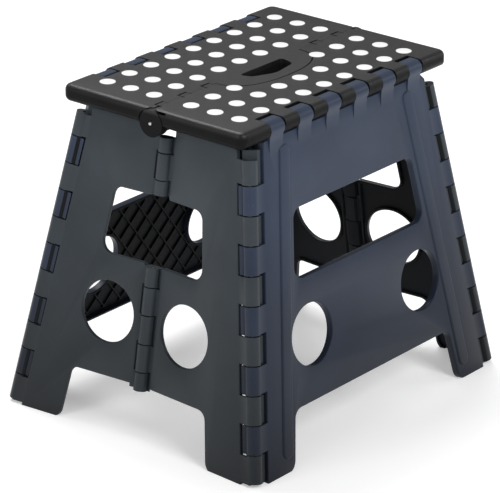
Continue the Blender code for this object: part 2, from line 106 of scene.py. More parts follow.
# Tread.
TREAD_X = 188.0
TREAD_Y = 130.0
TREAD_CORNER = 10.5
EDGE_R = 6.8
TREAD_WALL = 3.5
SEAM = 0.15
TONGUE_X = 76.0
TONGUE_Y = 44.0
TONGUE_BOTTOM = 374.0
TONGUE_GAP = 1.5
SLOT = ((-38.0, 40.0), (-3.0, -28.0))
TOP_KNUCKLE_X = (-126.4, -75.9, -25.3, 25.3, 75.9, 126.4)
TOP_KNUCKLE_HALF = 12.0
TOP_KNUCKLE_R = 10.0
SLEEVE_R = 9.8
HOOK_R = 6.2
CENTRE_REAR = ((75.4, 99.5), (120.5, 139.5), (160.5, 186.0))
CENTRE_FRONT = ((100.5, 119.5), (140.5, 159.5))
LUG_R = 16.0
LUG_X = 176.0

# Pins.
PIN_R = 2.0
BORE_R = 2.4
OPEN_BORE_R = 3.6
SLACK_R = 8.3
SLACK = (-4.2, 3.8)
CORNER_PIN = (4.0, 350.0)
CENTRE_PIN = (81.5, 189.0)
TOP_PIN_X = 176.0
END_PINS = (("lower", 59.5, 201.0), ("upper", 284.5, 349.0))

# Looks.
PANEL_COLOUR = (0.034, 0.046, 0.076)
END_COLOUR = (0.042, 0.052, 0.061)
TREAD_COLOUR = (0.009, 0.009, 0.0095)
# Painted shade: a near-black copy of the plastic colour for faces and ribs inside the stool.
INNER_SHADE_COLOUR = (0.006, 0.007, 0.009)
DOT_COLOUR = (0.85, 0.85, 0.85)
STEEL = (0.55, 0.55, 0.56)
WORLD_LIGHT = 0.32
FLOOR_GLOW = 0.32

# Grip dots and the slots along the seam of the tread.
DOT_R = 9.1
DOT_STEP_X = 37.54
DOT_FIRST_Y = 26.57
DOT_STEP_Y = 34.02
MARK_START = -167.0
MARK_STEP = 39.6
MARK_COUNT = 9

# Profiles of the walls that close the gap behind a knuckle, and of the pad that covers a top knuckle.
MID_HEEL = ((-10.8, 3.0), (-9.6, 5.8), (-7.0, 8.8), (0, 9.2), (8.5, 7.0), (10.8, 3.0))
CORNER_HEEL = ((-5.0, 7.0), (-5.0, 12.2), (1.5, 13.1), (7.0, 11.0), (10.5, 7.8), (10.5, 0), (4.0, 0))
TOP_PAD = (
    (-1, 9.9), (6.5, 10.1), (8.6, 9.4), (10.2, 7.6), (12.2, 3.5), (12.6, -2), (9, -6), (0, -4),
)
LUG_GAP_R = 17.4
LUG_RECESS = 6.0


def mesh_object(name, mesh):
    obj = bpy.data.objects.new(name, mesh)
    bpy.context.scene.collection.objects.link(obj)
    return obj


def evaluated_mesh(obj):
    bpy.context.view_layer.update()
    graph = bpy.context.evaluated_depsgraph_get()
    return bpy.data.meshes.new_from_object(obj.evaluated_get(graph))


def plate(loops, low, high, soft=0.0):
    """Flat piece with holes: closed loops of (x, y) filled from z low to z high.

    soft is the radius of the rounded edges.
    """
    data = bpy.data.curves.new("outline", "CURVE")
    data.dimensions = "2D"
    data.fill_mode = "BOTH"
    data.extrude = ((high - low) / 2 - soft) * MM
    if soft:
        data.bevel_depth = soft * MM
        data.bevel_resolution = 2 if soft < 2 else 7
        data.offset = -soft * MM
    for loop in loops:
        spline = data.splines.new("POLY")
        spline.points.add(len(loop) - 1)
        for point, (x, y) in zip(spline.points, loop):
            point.co = (x * MM, y * MM, 0.0, 1.0)
        spline.use_cyclic_u = True
    curve = mesh_object("outline", data)
    mesh = evaluated_mesh(curve)
    bpy.data.objects.remove(curve)
    mesh.transform(Matrix.Translation((0, 0, (high + low) / 2 * MM)))
    form = bmesh.new()
    form.from_mesh(mesh)
    bmesh.ops.remove_doubles(form, verts=form.verts, dist=1e-6)
    bmesh.ops.recalc_face_normals(form, faces=form.faces)
    bmesh.ops.dissolve_limit(form, angle_limit=1e-3, verts=form.verts, edges=form.edges)
    form.to_mesh(mesh)
    form.free()
    return mesh_object("plate", mesh)


def box(low, high):
    form = bmesh.new()
    bmesh.ops.create_cube(form, size=1.0)
    mesh = bpy.data.meshes.new("box")
    form.to_mesh(mesh)
    form.free()
    size = [b - a for a, b in zip(low, high)]
    middle = [(a + b) / 2 for a, b in zip(low, high)]
    scale = Matrix.Diagonal((*[s * MM for s in size], 1.0))
    mesh.transform(Matrix.Translation([m * MM for m in middle]) @ scale)
    return mesh_object("box", mesh)


def rod(start, end, radius, segments=SEGMENTS):
    """Round bar between two points."""
    start = Vector(start)
    end = Vector(end)
    along = end - start
    form = bmesh.new()
    bmesh.ops.create_cone(
        form, cap_ends=True, segments=segments, radius1=radius, radius2=radius, depth=along.length
    )
    mesh = bpy.data.meshes.new("rod")
    form.to_mesh(mesh)
    form.free()
    turn = Vector((0, 0, 1)).rotation_difference(along.normalized()).to_matrix().to_4x4()
    mesh.transform(Matrix.Translation((start + end) / 2) @ turn)
    mesh.transform(Matrix.Diagonal((MM, MM, MM, 1.0)))
    return mesh_object("rod", mesh)


def combine(target, others, operation):
    group = bpy.data.collections.new("operands")
    for other in others:
        group.objects.link(other)
    modifier = target.modifiers.new("combine", "BOOLEAN")
    modifier.operation = operation
    modifier.solver = "EXACT"
    modifier.operand_type = "COLLECTION"
    modifier.collection = group
    mesh = evaluated_mesh(target)
    target.modifiers.clear()
    target.data = mesh
    for other in others:
        bpy.data.objects.remove(other)
    bpy.data.collections.remove(group)


def rounded(points, radii, steps=9):
    """Closed loop with each corner replaced by an arc."""
    loop = []
    count = len(points)
    for i, (point, radius) in enumerate(zip(points, radii)):
        here = Vector(point)
        if radius <= 0:
            loop.append(tuple(here))
            continue
        back = (Vector(points[i - 1]) - here).normalized()
        ahead = (Vector(points[(i + 1) % count]) - here).normalized()
        half = back.angle(ahead) / 2
        reach = radius / math.tan(half)
        centre = here + (back + ahead).normalized() * (radius / math.sin(half))
        first = here + back * reach - centre
        last = here + ahead * reach - centre
        sweep = first.angle_signed(last)
        for step in range(steps + 1):
            arm = first.copy()
            arm.rotate(Matrix.Rotation(-sweep * step / steps, 2))
            loop.append(tuple(centre + arm))
    return loop


def circle(centre, radius, steps=72):
    return [
        (
            centre[0] + radius * math.cos(math.tau * i / steps),
            centre[1] + radius * math.sin(math.tau * i / steps),
        )
        for i in range(steps)
    ]


def inset(loop, distance):
    """The loop moved inward by a distance, with mitred corners; a negative distance moves it outward."""
    area = sum(a[0] * b[1] - b[0] * a[1] for a, b in zip(loop, loop[1:] + loop[:1]))
    side = 1.0 if area > 0 else -1.0
    moved = []
    for i, point in enumerate(loop):
        here = Vector(point)
        back = (here - Vector(loop[i - 1])).normalized()
        ahead = (Vector(loop[(i + 1) % len(loop)]) - here).normalized()
        normal_a = Vector((-back.y, back.x)) * side
        normal_b = Vector((-ahead.y, ahead.x)) * side
        total = normal_a + normal_b
        moved.append(tuple(here + total * (2 * distance / total.length_squared)))
    return moved


def lerp(pair, z):
    return pair[0] + (pair[1] - pair[0]) * z / REF_Z


def corner_span(index):
    """Heights between which one corner knuckle lies."""
    low = CORNER_START + CORNER_STEP * index
    return low + SIDE_GAP, min(low + CORNER_STEP - SIDE_GAP, CORNER_END)


def axes(origin, right, up, out):
    """Matrix of a local frame."""
    made = Matrix.Identity(4)
    for column, axis in enumerate((right, up, out, origin)):
        for row in range(3):
            made[row][column] = axis[row]
    return made


LEAN = math.atan((CORNER_Y[0] - CORNER_Y[1]) / REF_Z)
APEX_Z = REF_Z * CORNER_Y[0] / (CORNER_Y[0] - CORNER_Y[1])
APEX = Vector((-lerp(CORNER_X, APEX_Z), 0, APEX_Z))
HALF_TURN = Matrix.Rotation(math.pi, 4, "Z")
LONG_FRAME = axes(
    Vector((0, -CORNER_Y[0], 0)),
    Vector((1, 0, 0)),
    Vector((0, math.sin(LEAN), math.cos(LEAN))),
    Vector((0, -math.cos(LEAN), math.sin(LEAN))),
)


def end_frame(side):
    """Frame of one left end half: side -1 is the front half. Its XY plane is the outer skin face."""
    corner = Vector((-CORNER_X[0], side * CORNER_Y[0], 0))
    middle = Vector((-CORNER_X[0] + MID_INWARD, 0, 0))
    slope = math.atan((CORNER_X[0] - CORNER_X[1]) / REF_Z)
    outward = Vector((-math.cos(slope), 0, math.sin(slope)))
    at_corner = corner + outward * CORNER_R
    at_middle = middle - outward * MID_PROUD
    normal = (at_corner - APEX).cross(at_middle - APEX).normalized()
    if normal.x > 0:
        normal.negate()
    up = (APEX - at_corner).normalized()
    return axes(corner, up.cross(normal), up, normal) @ Matrix.Translation(
        (0, 0, normal.dot(at_corner - corner))
    )


def node(name, obj, matrix, body, nodes, look, finish):
    """Shows a solid modelled in a local frame as a named piece that stands for CAD nodes of one body."""
    mesh = obj.data
    bpy.data.objects.remove(obj)
    form = bmesh.new()
    form.from_mesh(mesh)
    bmesh.ops.remove_doubles(form, verts=form.verts, dist=2e-6)
    bmesh.ops.dissolve_degenerate(form, edges=form.edges, dist=1e-6)
    form.to_mesh(mesh)
    form.free()
    mesh.materials.clear()
    mesh.materials.append(look)
    # Faces that look into the stool get a darker copy of the material: painted shade for the inside of the
    # stool.
    if finish == "slate_plastic":
        mesh.materials.append(INNER_SHADE_LOOK)
        for face in mesh.polygons:
            if face.normal.z < -0.4:
                face.material_index = 1
    mesh.shade_smooth()
    mesh.set_sharp_from_angle(angle=math.radians(32))
    made = bpy.data.objects.new(name, mesh)
    bpy.context.scene.collection.objects.link(made)
    made.matrix_world = scaled(matrix)
    bpy.context.view_layer.update()
    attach(made, body)
    if nodes:
        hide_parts(*nodes)
    return made


def knuckles(matrix, low_point, high_point, spans, radius):
    """Barrels round the line between two world points, one for each pair of heights."""
    inverse = matrix.inverted()
    bars = []
    rise = high_point.z - low_point.z
    for low, high in spans:
        ends = [
            inverse @ (low_point + (high_point - low_point) * (z - low_point.z) / rise) for z in (low, high)
        ]
        bars.append(rod(ends[0], ends[1], radius))
    return bars


def heels(matrix, foot, head, spans, inward, hint, profile):
    """Inner walls that close the gap behind each knuckle on the line from foot to head.

    inward and hint are world directions: into the stool, and along the piece's own wall.
    """
    along = (head - foot).normalized()
    inward = (inward - along * inward.dot(along)).normalized()
    towards = inward.cross(along)
    if towards.dot(hint) < 0:
        towards.negate()
    place = axes(foot, towards, inward, towards.cross(inward))
    way = math.copysign(1, along.dot(towards.cross(inward)))
    made = []
    for low, high in spans:
        ends = sorted(way * z / along.z for z in (low, high))
        piece = plate([profile], *ends)
        piece.data.transform(scaled(matrix.inverted() @ place))
        made.append(piece)
    return made


def long_window(slant):
    """Corners of the window of a long panel, in the panel's own frame."""
    (top_x, top_z), (low_x, low_z) = WINDOW
    return [
        (-low_x, low_z * slant), (low_x, low_z * slant),
        (top_x, top_z * slant), (-top_x, top_z * slant),
    ]


def long_panel():
    """Front panel in its local frame: x along the tread, y up the slant, z outward from the hinge plane."""
    slant = 1 / math.cos(LEAN)

    def edge(v):
        return lerp(CORNER_X, v / slant)

    foot_slope = (LONG_FOOT[0] - LONG_FOOT[1]) / ARCH_TOP
    right = [
        (LONG_FOOT[1], ARCH_TOP * slant),
        (LONG_FOOT[0] + 3 * foot_slope, -3.0),
        (edge(-3) - PLATE_GAP, -3.0),
        (edge(LONG_TOP) - PLATE_GAP, LONG_TOP),
    ]
    outline = right + [(-x, y) for x, y in reversed(right)]
    radii = (12, 14, 2, 3, 3, 2, 14, 12)
    window = long_window(slant)
    inner = LONG_FACE - SKIN
    back = LONG_FACE - LONG_DEPTH
    sides = (-1, 1)
    holes = [circle((side * LONG_HOLE[0], LONG_HOLE[1] * slant), HOLE_R) for side in sides]
    lips = [circle((side * LONG_HOLE[0], LONG_HOLE[1] * slant), HOLE_R + RIM) for side in sides]
    body = plate([rounded(outline, radii), rounded(window, [13] * 4), *holes], back, LONG_FACE, 1.1)
    hollow = [rounded(inset(outline, RIM), [max(r - RIM, 1) for r in radii]), *lips]
    hollow.append(rounded(inset(window, -RIM), [13 + RIM] * 4))
    combine(body, [plate(hollow, back - 5, inner)], "DIFFERENCE")
    adds = []
    spans = [corner_span(i) for i in range(1, CORNER_COUNT, 2)]
    for side in (-1, 1):
        for low, high in spans:
            ends = ((low + 0.4) * slant, (high - 0.4) * slant)
            corners = [(side * (edge(v) - inward), v) for v, inward in
                       ((ends[0], 17), (ends[0], 0), (ends[1], 0), (ends[1], 17))]
            adds.append(plate([corners], LONG_FACE - 4.2, LONG_FACE - 0.02))
        low_point = Vector((side * CORNER_X[0], -CORNER_Y[0], 0))
        high_point = Vector((side * CORNER_X[1], -CORNER_Y[1], REF_Z))
        adds += knuckles(LONG_FRAME, low_point, high_point, spans, CORNER_R)
        wall = Vector((-side, 0, 0))
        adds += heels(LONG_FRAME, low_point, high_point, spans, Vector((0, 1, 0)), wall, CORNER_HEEL)
        flute = [(side * (edge(v) - FLUTE_INSET - w), v) for v, w in
                 ((14, 0), (14, FLUTE_WIDTH), (362, FLUTE_WIDTH), (362, 0))]
        flute = rounded(flute, [FLUTE_WIDTH * 0.48] * 4)
        adds.append(plate([flute], LONG_FACE - 3.2, LONG_FACE + FLUTE_RISE, 2.4))
    hinge = LONG_FRAME.inverted() @ Vector((0, -TOP_HINGE_Y, TOP_HINGE_Z))
    for x in TOP_KNUCKLE_X:
        ends = [(x + half, hinge.y, hinge.z) for half in (-TOP_KNUCKLE_HALF, TOP_KNUCKLE_HALF)]
        adds.append(rod(*ends, TOP_KNUCKLE_R, 20))
        side_view = [
            (hinge.y, hinge.z + 8.5), (hinge.y - 1, hinge.z - 8.5), (hinge.y - 17, back + 2),
            (hinge.y - 30, inner + 0.5), (hinge.y - 30, LONG_FACE - 0.3), (hinge.y - 16, LONG_FACE + 1.5),
        ]
        adds.append(across(side_view, x - TOP_KNUCKLE_HALF + 0.4, x + TOP_KNUCKLE_HALF - 0.4))
        pad = [LONG_FRAME.inverted() @ Vector((0, a - TOP_HINGE_Y, b + TOP_HINGE_Z)) for a, b in TOP_PAD]
        adds.append(across([(p.y, p.z) for p in pad], x - TOP_KNUCKLE_HALF + 0.2, x + TOP_KNUCKLE_HALF - 0.2))
    combine(body, adds, "UNION")
    below = box((-300, -400, -60), (300, 100, 0))
    below.data.transform(scaled(LONG_FRAME.inverted()))
    cuts = [below, rod((-190, hinge.y, hinge.z), (190, hinge.y, hinge.z), BORE_R, 12)]
    return body, cuts


def scaled(matrix):
    made = matrix.copy()
    made.translation = made.translation * MM
    return made


def corner_line(x_side, y_side, z):
    return Vector((x_side * lerp(CORNER_X, z), y_side * lerp(CORNER_Y, z), z))


def long_panel_node(name, turn, bores):
    body, cuts = long_panel()
    for side, radius in zip((-1, 1), bores):
        ends = [LONG_FRAME.inverted() @ corner_line(side, -1, z) for z in (-20, 380)]
        cuts.append(rod(ends[0], ends[1], radius, 12))
    combine(body, cuts, "DIFFERENCE")
    return node(f"{name}_shell", body, turn @ LONG_FRAME, name, [name], PANEL_LOOK, "slate_plastic")


def end_half(side):
    """Left end half in its own frame. side -1 is the front half, which has the even number of lugs."""
    matrix = end_frame(side)
    inverse = matrix.inverted()
    normal = matrix.to_3x3() @ Vector((0, 0, 1))

    def local(y, z):
        x = (normal.dot(APEX) - normal.y * y * side - normal.z * z) / normal.x
        point = inverse @ Vector((x, y * side, z))
        return point.x, point.y

    def loop(points):
        return [local(y, z) for y, z in points]

    def edge(z):
        return lerp(CORNER_Y, z) - PLATE_GAP

    slope = (END_FOOT[0] - END_FOOT[1]) / ARCH_TOP
    (top_y, top_z), (low_y, low_z) = END_WINDOW
    outline = loop((
        (edge(-3), -3), (edge(END_TOP), END_TOP), (MID_CLEAR, END_TOP),
        (MID_CLEAR, top_z), (top_y, top_z), (low_y, low_z), (MID_CLEAR, low_z),
        (MID_CLEAR, ARCH_TOP), (END_FOOT[1], ARCH_TOP), (END_FOOT[0] + 3 * slope, -3),
    ))
    radii = (2, 3, 3, 3, 12, 13, 3, 3, 12, 14)
    hole = local(*END_HOLE)
    body = plate([rounded(outline, radii), circle(hole, HOLE_R)], -END_DEPTH, 0.0, 1.1)
    hollow_radii = (1, 1, 1, 3, 15, 16, 3, 1, 12, 14)
    hollow = plate(
        [rounded(inset(outline, RIM), hollow_radii), circle(hole, HOLE_R + RIM)], -END_DEPTH - 5, -SKIN
    )
    combine(body, [hollow], "DIFFERENCE")
    adds = []
    spans = [corner_span(i) for i in range(0, CORNER_COUNT, 2)]
    for low, high in spans:
        ends = (low + 0.4, high - 0.4)
        tab = loop((
            (edge(ends[0]) - 4, ends[0]), (lerp(CORNER_Y, ends[0]), ends[0]),
            (lerp(CORNER_Y, ends[1]), ends[1]), (edge(ends[1]) - 4, ends[1]),
        ))
        adds.append(plate([tab], -SKIN - 0.3, -0.02))
    adds += knuckles(matrix, corner_line(-1, side, 0), corner_line(-1, side, REF_Z), spans, CORNER_R)
    tall = spans[:-1] + [(spans[-1][0], END_TOP)]
    ends = (corner_line(-1, side, 0), corner_line(-1, side, REF_Z))
    adds += heels(matrix, *ends, tall, Vector((1, 0, 0)), Vector((0, -side, 0)), CORNER_HEEL)
    middle_low = Vector((-CORNER_X[0] + MID_INWARD, 0, 0))
    middle_high = middle_low + (APEX - middle_low) * REF_Z / APEX_Z
    mid_spans = [(a + SIDE_GAP, b - SIDE_GAP) for a, b in (MID_FRONT if side < 0 else MID_REAR)]
    for low, high in mid_spans:
        ends = (low + 0.4, high - 0.4)
        tab = loop(((0, ends[0]), (MID_CLEAR + 4, ends[0]), (MID_CLEAR + 4, ends[1]), (0, ends[1])))
        adds.append(plate([tab], -SKIN - 0.3, -0.02))
    adds += knuckles(matrix, middle_low, middle_high, mid_spans, MID_R)
    wall = Vector((0, side, 0))
    adds += heels(matrix, middle_low, middle_high, mid_spans, Vector((1, 0, 0)), wall, MID_HEEL)
    combine(body, adds, "UNION")
    below = box((-400, -400, -60), (100, 400, 0))
    below.data.transform(scaled(inverse))
    cuts = [below]
    for low_point, high_point in (
        (corner_line(-1, side, -20), corner_line(-1, side, 380)),
        (middle_low - (APEX - middle_low) * 0.01, middle_low + (APEX - middle_low) * 0.34),
    ):
        cuts.append(rod(inverse @ low_point, inverse @ high_point, BORE_R, 12))
    combine(body, cuts, "DIFFERENCE")
    return body, matrix


def end_half_node(name, side, turn):
    body, matrix = end_half(side)
    return node(f"{name}_shell", body, turn @ matrix, name, [name], END_LOOK, "slate_plastic")


def tongue(reach_x, reach_y, steps=18):
    """Half of a rounded D from (reach_x, 0) round to (-reach_x, 0), bulging towards -Y."""
    points = []
    for i in range(1, steps):
        angle = math.pi * i / steps
        squash = 0.85
        points.append((
            reach_x * math.copysign(abs(math.cos(angle)) ** squash, math.cos(angle)),
            -reach_y * math.sin(angle) ** squash,
        ))
    return points


def tread_half(side):
    """One half of the tread. side -1 is the front half; the rear half carries the handle tongue."""
    front = side < 0
    grow = TONGUE_GAP if front else 0.0
    seam = -SEAM if front else SEAM
    wide = TREAD_X + 3
    deep = side * (TREAD_Y + 3)
    outline = [
        (wide, deep), (wide, seam), (TONGUE_X + grow, seam), *tongue(TONGUE_X + grow, TONGUE_Y + grow),
        (-TONGUE_X - grow, seam), (-wide, seam), (-wide, deep),
    ]
    body = plate([outline], TREAD_BOTTOM - 2, TREAD_TOP + 2)
    corners = [(-TREAD_X, -TREAD_Y), (TREAD_X, -TREAD_Y), (TREAD_X, TREAD_Y), (-TREAD_X, TREAD_Y)]
    rim = rounded(corners, [TREAD_CORNER] * 4, 9)
    combine(body, [plate([rim], TREAD_BOTTOM, TREAD_TOP, EDGE_R)], "INTERSECT")

    def block(x, y, z):
        ys = sorted((side * y[0], side * y[1]))
        return box((x[0], ys[0], z[0]), (x[1], ys[1], z[1]))

    ceiling = TREAD_TOP - TREAD_WALL
    below = TREAD_BOTTOM - 12
    turns = [math.pi * (1.5 - 0.5 * i / 8) for i in range(9)]
    under = [(TOP_HINGE_Y - SLEEVE_R * math.cos(t), TOP_HINGE_Z + SLEEVE_R * math.sin(t)) for t in turns]
    under += [(TREAD_Y + 5, TOP_HINGE_Z), (TREAD_Y + 5, below), (TOP_HINGE_Y, below)]
    cuts = [wedge(side, below), across([(side * y, z) for y, z in under], -200, 200)]
    columns = ((-182.5, -134.5), (-132, -86), (86, 132), (134.5, 182.5))
    middles = ((-83.5, -43.5), (-41, -1.2), (1.2, 41), (43.5, 83.5))
    for x in columns:
        cuts.append(block(x, (-5 if front else 21.5, 61), (below, ceiling)))
        cuts.append(block(x, (63.5, 104), (below, ceiling)))
    for x in middles:
        cuts.append(block(x, (63.5, 104), (below, ceiling)))
        if not front:
            cuts.append(block(x, (21.5, 61), (below, ceiling)))
    for x in TOP_KNUCKLE_X:
        wide = TOP_KNUCKLE_HALF + 1.3
        cuts.append(block((x - wide, x + wide), (106.8, 140), (below, TREAD_TOP + 10)))
    for x_side in (-1, 1):
        for low, high in CENTRE_REAR if front else CENTRE_FRONT:
            x = sorted((x_side * (low - 1.2), x_side * (high + 1.2)))
            cuts.append(block(x, (-5, 20), (below, TREAD_TOP - 1.3)))
    if not front:
        cuts.append(box((-TONGUE_X - 2, -TONGUE_Y - 2, below), (TONGUE_X + 2, 1, TONGUE_BOTTOM)))
        (x_low, x_high), (y_back, y_front) = SLOT
        hand = (
            (x_low, y_back), (x_low + 6, -18), (-4, y_front - 2),
            (x_high - 6, y_front + 4), (x_high, y_back),
        )
        hand = rounded(hand, (4, 10, 30, 9, 4))
        cuts.append(plate([hand], below, TREAD_TOP + 10))
    for x_side in (-1, 1):
        x = sorted((x_side * (LUG_X - 1.2 if front else LUG_X + LUG_RECESS), x_side * (TREAD_X + 5)))
        cuts.append(rod((x[0], 0, CENTRE_HINGE_Z), (x[1], 0, CENTRE_HINGE_Z), LUG_GAP_R, 64))
    cuts += seam_marks(front)
    combine(body, cuts, "DIFFERENCE")

    adds = []
    hook = HOOK if front else LOOP
    for x_side in (-1, 1):
        for low, high in CENTRE_FRONT if front else CENTRE_REAR:
            adds.append(across(hook, *sorted((x_side * low, x_side * high))))
        if not front:
            x = sorted((x_side * LUG_X, x_side * (TREAD_X - 0.4)))
            adds.append(rod((x[0], 0, CENTRE_HINGE_Z), (x[1], 0, CENTRE_HINGE_Z), LUG_R, 64))
    combine(body, adds, "UNION")

    ends = [(x, side * TOP_HINGE_Y, TOP_HINGE_Z) for x in (-178, 178)]
    bores = [rod(*ends, BORE_R, 12)]
    for x_side in (-1, 1):
        x = sorted((x_side * 78, x_side * 190))
        bores.append(rod((x[0], 0, CENTRE_HINGE_Z), (x[1], 0, CENTRE_HINGE_Z), BORE_R + 0.2, 12))
        if front:
            x = sorted((x_side * 99, x_side * 161))
            y = SLACK[0]
            z = CENTRE_HINGE_Z + SLACK[1]
            bores.append(rod((x[0], y, z), (x[1], y, z), SLACK_R, 20))
    combine(body, bores, "DIFFERENCE")
    return body


def seam_marks(front):
    """Slots round the hinge fingers that show along the middle of the tread."""
    slots = []
    for i in range(MARK_COUNT):
        x = MARK_START + MARK_STEP * i
        if abs(x) < TONGUE_X:
            continue
        top = TREAD_TOP + 1
        if front:
            slots.append(box((x - 7.5, -4.2, TREAD_TOP - 2.6), (x - 5.9, 1, top)))
            slots.append(box((x + 6.4, -3.2, TREAD_TOP - 2.0), (x + 7.2, 1, top)))
        else:
            slots.append(box((x - 7.5, 4.2, TREAD_TOP - 3), (x + 7.2, 6.6, top)))
            slots.append(box((x - 7.5, -1, TREAD_TOP - 2.6), (x - 5.9, 5, top)))
            slots.append(box((x + 6.4, -1, TREAD_TOP - 2.0), (x + 7.2, 5, top)))
    return slots


def across(profile, x_low, x_high):
    """Solid with one (y, z) profile all along x."""
    piece = plate([profile], x_low, x_high)
    piece.data.transform(Matrix(((0, 0, 1, 0), (1, 0, 0, 0), (0, 1, 0, 0), (0, 0, 0, 1))))
    return piece


def arc(radius, start, end, steps=8):
    """Points of an arc round the centre hinge line, from one angle to another in degrees."""
    turns = [math.radians(start + (end - start) * i / steps) for i in range(steps + 1)]
    return [(radius * math.cos(t), CENTRE_HINGE_Z + radius * math.sin(t)) for t in turns]


def wedge(side, below):
    """Raises the underside near the seam, so that the folded halves lie face to face."""
    rise = CENTRE_HINGE_Z + 0.8
    profile = ((-30, below), (41, below), (41, TREAD_BOTTOM), (0, rise), (-30, rise))
    return across([(side * y, z) for y, z in profile], -190, 190)


HOOK = [
    (-21.0, TREAD_TOP - 2.9), (-21.0, TREAD_BOTTOM + 2), (-12.0, TREAD_BOTTOM - 3.2), *arc(HOOK_R, -120, 26),
    (-0.5, CENTRE_HINGE_Z + 3), (-0.5, TREAD_TOP - 2.9),
]
LOOP = [
    (23.0, TREAD_TOP - 2.9), (23.0, TREAD_BOTTOM + 2), *arc(HOOK_R, -50, -270),
    (0.6, CENTRE_HINGE_Z + HOOK_R), (0.6, TREAD_TOP - 2.9),
]


def tread_node(name, side):
    body = tread_half(side)
    return node(f"{name}_shell", body, STILL, name, [name], TREAD_LOOK, "black_plastic")


def pin(name, start, end, body):
    """Hinge pin with rounded ends."""
    rod_mesh = rod(start, end, PIN_R, 24)
    form = bmesh.new()
    form.from_mesh(rod_mesh.data)
    rims = [e for e in form.edges if max(len(f.verts) for f in e.link_faces) > 4]
    bmesh.ops.bevel(form, geom=rims, offset=0.6 * MM, segments=2, profile=0.5, affect="EDGES")
    form.to_mesh(rod_mesh.data)
    form.free()
    node(f"{name}_bar", rod_mesh, STILL, body, [name], STEEL_LOOK, "steel")


def lattice():
    """Crossed ribs behind the skin of a long panel."""
    slant = 1 / math.cos(LEAN)
    inner = LONG_FACE - SKIN
    bars = []
    half = RIB_WIDTH / 2
    for way in (-1, 1):
        for i in range(-RIB_COUNT, RIB_COUNT + 1):
            bar = box((-half, -RIB_REACH, inner - RIB_DEPTH), (half, RIB_REACH, inner + 0.5 + way * 0.1))
            shift = Matrix.Translation((i * RIB_STEP * MM, RIB_CENTRE_Y * MM, 0))
            bar.data.transform(shift @ Matrix.Rotation(way * RIB_TILT, 4, "Z"))
            bars.append(bar)
    first = bars.pop()
    combine(first, bars, "UNION")
    low, high = RIB_SPAN
    low_edge = lerp(CORNER_X, low) - PLATE_GAP - RIM
    high_edge = lerp(CORNER_X, high) - PLATE_GAP - RIM
    region = [
        (-low_edge, low * slant), (low_edge, low * slant),
        (high_edge, high * slant), (-high_edge, high * slant),
    ]
    window = long_window(slant)
    lips = [circle((side * LONG_HOLE[0], LONG_HOLE[1] * slant), HOLE_R + RIM - 0.5) for side in (-1, 1)]
    frame_line = rounded(inset(window, 0.5 - RIM), [15.5] * 4)
    area = plate([region, frame_line, *lips], inner - RIB_DEPTH - 1, inner + 0.3)
    combine(first, [area], "INTERSECT")
    return first


def dots(name, side):
    """Raised round grip dots of one tread half."""
    spots = []
    for row in range(3):
        for i in range(9):
            if side < 0 and row == 0 and i in (3, 4, 5):
                continue
            centre = ((i - 4) * DOT_STEP_X, side * (DOT_FIRST_Y + DOT_STEP_Y * row))
            spots.append(plate([circle(centre, DOT_R, 48)], TREAD_TOP - 0.6, TREAD_TOP + 0.35, 0.25))
    first = spots.pop()
    combine(first, spots, "UNION")
    node(f"{name}_dots", first, STILL, name, [], DOT_LOOK, "black_plastic")


class Shading:
    """Small helper for building one procedural material."""

    def __init__(self, name):
        self.material = bpy.data.materials.new(name)
        self.material.use_nodes = True
        self.tree = self.material.node_tree
        self.shader = self.tree.nodes["Principled BSDF"]
        self.place = self.add("ShaderNodeTexCoord").outputs["Object"]

    def add(self, kind, **inputs):
        made = self.tree.nodes.new(kind)
        for key, value in inputs.items():
            self.plug(made.inputs[key], value)
        return made

    def plug(self, socket, value):
        if isinstance(value, bpy.types.NodeSocket):
            self.tree.links.new(value, socket)
        else:
            socket.default_value = value

    def noise(self, scale, detail=3.0):
        made = self.add("ShaderNodeTexNoise", Vector=self.place, Scale=scale, Detail=detail)
        return made.outputs["Fac"]

    def span(self, value, low, high, to_low, to_high):
        made = self.add("ShaderNodeMapRange")
        for socket, item in zip(made.inputs, (value, low, high, to_low, to_high)):
            self.plug(socket, item)
        return made.outputs["Result"]

    def sum(self, first, second, operation="ADD"):
        made = self.tree.nodes.new("ShaderNodeMath")
        made.operation = operation
        self.plug(made.inputs[0], first)
        self.plug(made.inputs[1], second)
        return made.outputs[0]

    def mix(self, factor, first, second):
        made = self.tree.nodes.new("ShaderNodeMix")
        made.data_type = "RGBA"
        for index, item in ((0, factor), (6, first), (7, second)):
            self.plug(made.inputs[index], item)
        return made.outputs[2]

    def dim(self, colour, factor):
        return self.mix(1 - factor, colour, (0.0, 0.0, 0.0, 1.0))

    def bump(self, height, distance, strength=1.0):
        made = self.add("ShaderNodeBump", Height=height, Distance=distance, Strength=strength)
        self.tree.links.new(made.outputs["Normal"], self.shader.inputs["Normal"])


def tone(colour, factor):
    return (*[c * factor for c in colour], 1.0)


